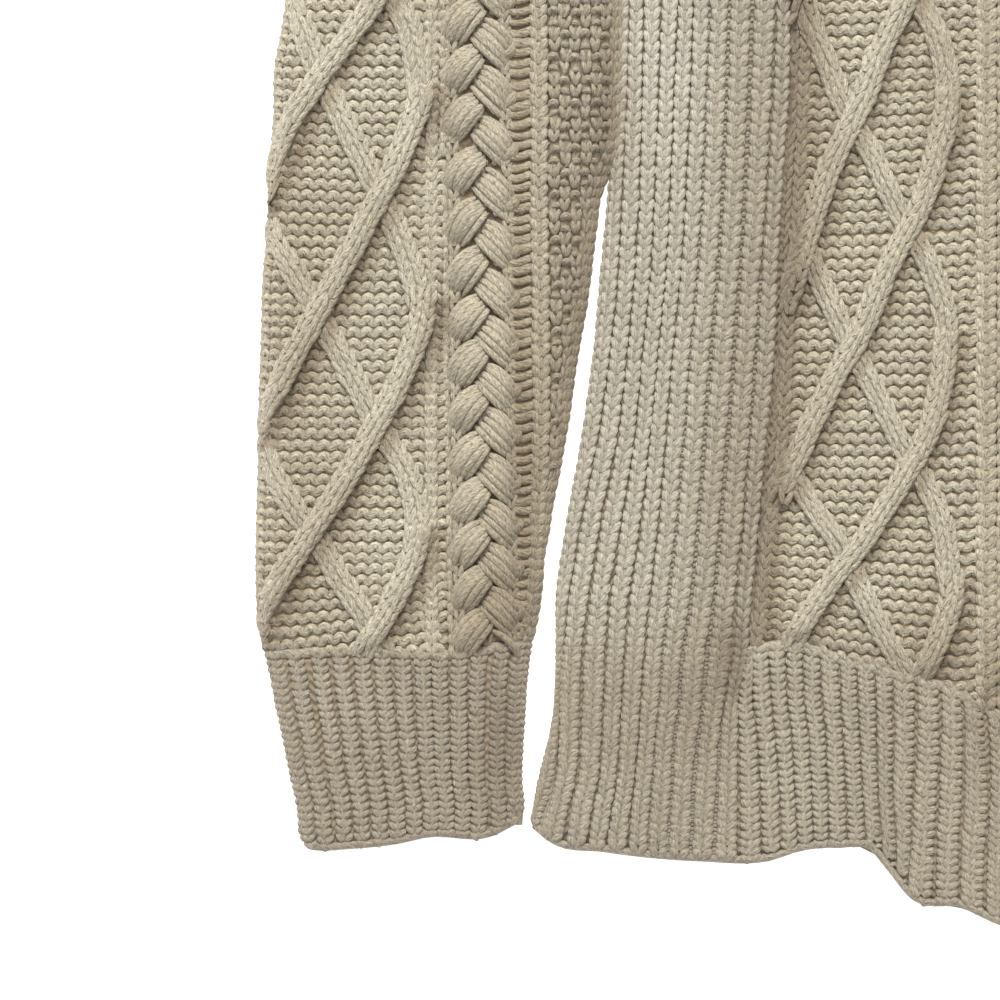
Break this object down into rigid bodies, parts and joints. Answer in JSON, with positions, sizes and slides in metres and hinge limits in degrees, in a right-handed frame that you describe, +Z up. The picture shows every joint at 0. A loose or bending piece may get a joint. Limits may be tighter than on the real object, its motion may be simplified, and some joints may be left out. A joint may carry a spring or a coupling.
{
  "type": "cable knit sweater",
  "caption": "Cream long-sleeved sweater lying flat, face up: lattice and plait cables, moss stitch, ribbed side panels, hem, cuffs and crew neckband.",
  "frame": {"origin": "middle of the box round the garment, on the surface it lies on", "axes": "+X towards the viewer's right across the garment, +Y from the hem towards the neck, +Z up out of the front"},
  "size_m": [0.7382, 0.7242, 0.0092],
  "materials": {
    "knit": "matte cream Aran knit, cable and moss stitch",
    "rib": "matte cream 1x1 rib"
  },
  "bodies": {
    "root": {"front_panel": "knit", "back_panel": "knit", "sleeve_left": "knit", "sleeve_right": "knit", "side_panel_left": "rib", "side_panel_right": "rib", "hem_front": "rib", "hem_back": "rib", "cuff_left": "rib", "cuff_right": "rib", "neckband": "rib"}
  },
  "joints": []
}
